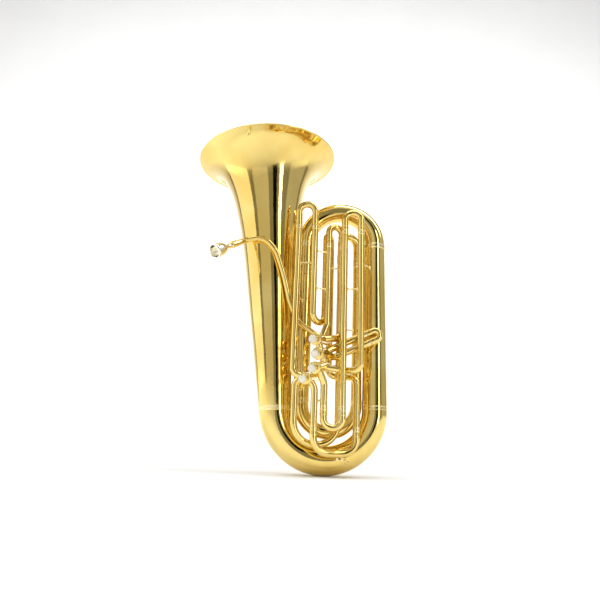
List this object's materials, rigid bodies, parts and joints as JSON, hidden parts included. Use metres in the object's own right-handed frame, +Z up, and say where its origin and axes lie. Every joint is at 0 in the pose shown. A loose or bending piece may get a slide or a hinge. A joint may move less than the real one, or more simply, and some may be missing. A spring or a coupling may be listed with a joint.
{
  "type": "tuba",
  "caption": "Upright concert tuba with a flared bell, front-action piston valves, pull slides, leadpipe and mouthpiece.",
  "frame": {"origin": "the lowest point of the bottom bow, in the plane of the large tubing", "axes": "+X to the right as the player sees it, +Y away from the player, +Z up towards the bell"},
  "size_m": [0.5821, 0.421, 0.9504],
  "materials": {
    "lacquered_brass": "clear lacquered yellow brass, polished",
    "brass_trim": "polished brass ferrules and braces",
    "nickel_trim": "polished nickel",
    "nickel_silver": "lapped nickel silver",
    "silver_plate": "bright silver plate",
    "spring_steel": "drawn wire",
    "pearl": "pearl finger button inlay"
  },
  "bodies": {
    "root": {"bell": "lacquered_brass", "bell_rim": "lacquered_brass", "bell_stays": "brass_trim", "bottom_bow": "lacquered_brass", "bottom_cap_1": "nickel_trim", "bottom_cap_2": "nickel_trim", "bottom_cap_3": "nickel_trim", "bottom_cap_4": "nickel_trim", "braces": "brass_trim", "casing_1": "lacquered_brass", "casing_2": "lacquered_brass", "casing_3": "lacquered_brass", "casing_4": "lacquered_brass", "first_tubes": "lacquered_brass", "fourth_tubes": "lacquered_brass", "inner_bow": "lacquered_brass", "knuckles": "lacquered_brass", "leadpipe": "lacquered_brass", "left_branch": "lacquered_brass", "main_ferrules": "brass_trim", "outer_branch": "lacquered_brass", "outlet_pipe": "lacquered_brass", "receiver": "brass_trim", "right_branch": "lacquered_brass", "second_tubes": "lacquered_brass", "spring_1": "spring_steel", "spring_2": "spring_steel", "spring_3": "spring_steel", "spring_4": "spring_steel", "third_tubes": "lacquered_brass", "top_bow": "lacquered_brass", "top_cap_1": "nickel_trim", "top_cap_2": "nickel_trim", "top_cap_3": "nickel_trim", "top_cap_4": "nickel_trim", "tube_ferrules": "brass_trim"},
    "first_slide": {"first_slide": "lacquered_brass"},
    "fourth_slide_low": {"fourth_slide_low": "lacquered_brass", "key_saddle": "brass_trim"},
    "fourth_slide_top": {"fourth_slide_top": "lacquered_brass"},
    "main_slide": {"main_slide": "lacquered_brass"},
    "mouthpiece": {"mouthpiece": "silver_plate"},
    "valve_1": {"pearl_1": "pearl", "piston_1": "nickel_silver", "stem_1": "nickel_trim"},
    "valve_2": {"pearl_2": "pearl", "piston_2": "nickel_silver", "stem_2": "nickel_trim"},
    "valve_3": {"pearl_3": "pearl", "piston_3": "nickel_silver", "stem_3": "nickel_trim"},
    "valve_4": {"pearl_4": "pearl", "piston_4": "nickel_silver", "stem_4": "nickel_trim"},
    "second_slide": {"second_slide": "lacquered_brass"},
    "third_slide_low": {"third_slide_low": "lacquered_brass"},
    "third_slide_top": {"third_slide_top": "lacquered_brass"},
    "water_key": {"water_key": "brass_trim"}
  },
  "joints": [
    {"name": "valve_1_press", "type": "slide", "parent": "root", "child": "valve_1", "axis": [0.3043, 0.9366, 0.1736], "range_m": [0, 0.012], "stiffness_N_per_m": 450, "springref_m": -0.006, "deforming": ["spring_1"]},
    {"name": "valve_2_press", "type": "slide", "parent": "root", "child": "valve_2", "axis": [0.3043, 0.9366, 0.1736], "range_m": [0, 0.012], "stiffness_N_per_m": 450, "springref_m": -0.006, "deforming": ["spring_2"]},
    {"name": "valve_3_press", "type": "slide", "parent": "root", "child": "valve_3", "axis": [0.3043, 0.9366, 0.1736], "range_m": [0, 0.012], "stiffness_N_per_m": 450, "springref_m": -0.006, "deforming": ["spring_3"]},
    {"name": "valve_4_press", "type": "slide", "parent": "root", "child": "valve_4", "axis": [0.3043, 0.9366, 0.1736], "range_m": [0, 0.012], "stiffness_N_per_m": 450, "springref_m": -0.006, "deforming": ["spring_4"]},
    {"name": "main_slide_pull", "type": "slide", "parent": "root", "child": "main_slide", "axis": [0, 0, 1], "range_m": [0, 0.022]},
    {"name": "first_slide_pull", "type": "slide", "parent": "root", "child": "first_slide", "axis": [0, 0, 1], "range_m": [0, 0.05]},
    {"name": "second_slide_pull", "type": "slide", "parent": "root", "child": "second_slide", "axis": [0.9045, 0, 0.4264], "range_m": [0, 0.03]},
    {"name": "third_slide_top_pull", "type": "slide", "parent": "root", "child": "third_slide_top", "axis": [0, 0, 1], "range_m": [0, 0.05]},
    {"name": "third_slide_low_pull", "type": "slide", "parent": "root", "child": "third_slide_low", "axis": [0, 0, -1], "range_m": [0, 0.035]},
    {"name": "fourth_slide_top_pull", "type": "slide", "parent": "root", "child": "fourth_slide_top", "axis": [0, 0, 1], "range_m": [0, 0.04]},
    {"name": "fourth_slide_low_pull", "type": "slide", "parent": "root", "child": "fourth_slide_low", "axis": [0, 0, -1], "range_m": [0, 0.03]},
    {"name": "mouthpiece_pull", "type": "slide", "parent": "root", "child": "mouthpiece", "axis": [-0.5997, -0.5997, -0.5298], "range_m": [0, 0.035]},
    {"name": "water_key_press", "type": "hinge", "parent": "fourth_slide_low", "child": "water_key", "pos_m": [0.04435, -0.05806, 0.0451], "axis": [0.2043, -0.9789, 0], "range_deg": [0, 16], "stiffness_Nm_per_rad": 0.12, "springref_deg": -14.32}
  ]
}
